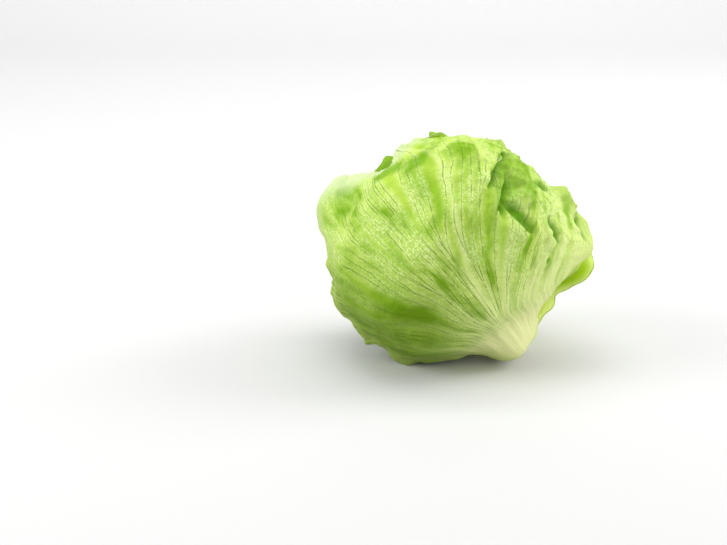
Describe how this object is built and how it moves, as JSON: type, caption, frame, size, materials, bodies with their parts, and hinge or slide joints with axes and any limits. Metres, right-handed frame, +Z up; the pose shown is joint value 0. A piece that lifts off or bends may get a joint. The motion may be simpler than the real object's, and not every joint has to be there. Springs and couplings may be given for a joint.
{
  "type": "iceberg lettuce",
  "caption": "Whole head of iceberg lettuce lying on its side, with wrapped crinkled outer leaves, a dense heart and a cut butt.",
  "frame": {"origin": "on the supporting surface, under the middle of the head's bounding box", "axes": "+Z up, +X towards the cut butt and the flared margin of the outermost leaf, -Y towards the large front leaf; the head lies on its side"},
  "size_m": [0.1744, 0.1516, 0.1453],
  "materials": {
    "stump": "moist cut stem, matt",
    "heart": "pale leaf, soft waxy sheen",
    "leaf_outer": "green leaf, soft waxy sheen",
    "leaf_front": "light green leaf with pale veins, soft waxy sheen",
    "leaf_inner": "light green leaf, soft waxy sheen"
  },
  "bodies": {
    "root": {"stump": "stump", "heart": "heart", "leaf_1": "leaf_outer", "leaf_2": "leaf_front", "leaf_3": "leaf_inner", "leaf_4": "leaf_inner", "leaf_5": "leaf_inner", "leaf_6": "leaf_inner"}
  },
  "joints": []
}
